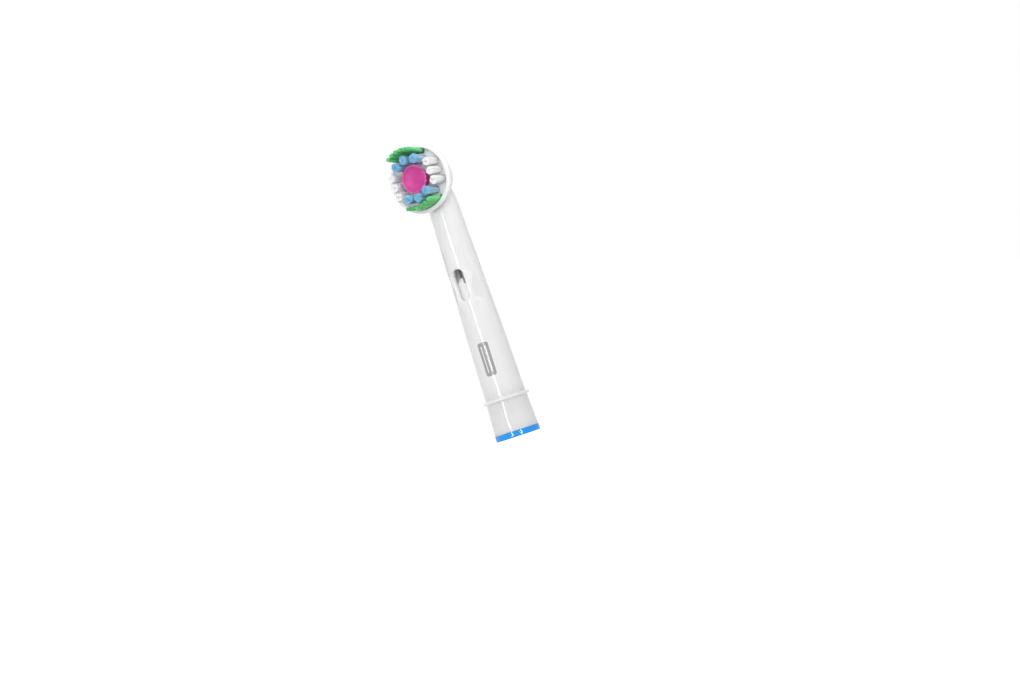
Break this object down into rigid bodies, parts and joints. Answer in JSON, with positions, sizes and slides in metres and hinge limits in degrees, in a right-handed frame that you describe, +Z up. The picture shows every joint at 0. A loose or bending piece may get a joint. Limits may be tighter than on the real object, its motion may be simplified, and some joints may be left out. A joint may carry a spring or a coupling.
{
  "type": "electric toothbrush head",
  "caption": "Replacement head for an oscillating electric toothbrush: white tapering neck with a window, blue foot ring, and a round swinging bristle disc with a rubber cup.",
  "frame": {"origin": "middle of the foot, on the neck's axis, in the plane that the foot ring stands on", "axes": "+Z up the neck towards the tip, -Y the way the bristles face, +X to the right of someone facing the bristles"},
  "size_m": [0.0172, 0.019, 0.0765],
  "materials": {
    "neck_plastic": "glossy white moulding",
    "ring_plastic": "glossy bright blue",
    "insert_plastic": "satin white",
    "coupler_plastic": "satin white",
    "bush_plastic": "satin natural",
    "disc_plastic": "semi-gloss white",
    "rod_steel": "drawn bright",
    "spring_steel": "spring temper",
    "anchor_brass": "cut strip",
    "cup_rubber": "soft magenta elastomer",
    "green_nylon": "green nylon filament",
    "blue_nylon": "blue nylon filament",
    "white_nylon": "white nylon filament"
  },
  "bodies": {
    "neck": {"neck_housing": "neck_plastic", "base_ring": "ring_plastic", "base_insert": "insert_plastic", "rod_bush": "bush_plastic", "retaining_pin": "rod_steel"},
    "drive": {"drive_rod": "rod_steel", "rod_coupler": "coupler_plastic", "coupler_clip": "spring_steel"},
    "brush": {"bristle_disc": "disc_plastic", "polishing_cup": "cup_rubber", "tuft_anchors": "anchor_brass", "green_tuft_top": "green_nylon", "green_tuft_bottom": "green_nylon", "blue_tuft_top_left": "blue_nylon", "blue_tuft_top_middle": "blue_nylon", "blue_tuft_top_right": "blue_nylon", "blue_tuft_bottom_left": "blue_nylon", "blue_tuft_bottom_middle": "blue_nylon", "blue_tuft_bottom_right": "blue_nylon", "white_tuft_left_upper": "white_nylon", "white_tuft_left_middle": "white_nylon", "white_tuft_left_lower": "white_nylon", "white_tuft_right_upper": "white_nylon", "white_tuft_right_middle": "white_nylon", "white_tuft_right_lower": "white_nylon"}
  },
  "joints": [
    {"name": "drive_swing", "type": "hinge", "parent": "neck", "child": "drive", "pos_m": [0, 0, 0], "axis": [0, 0, 1], "range_deg": [-33, 33]},
    {"name": "disc_swing", "type": "hinge", "parent": "neck", "child": "brush", "pos_m": [0, 0, 0.0679], "axis": [0, -1, 0], "range_deg": [-21, 21]}
  ],
  "couplings": [
    {"joint": "disc_swing", "follows": "drive_swing", "ratio": 0.62}
  ]
}
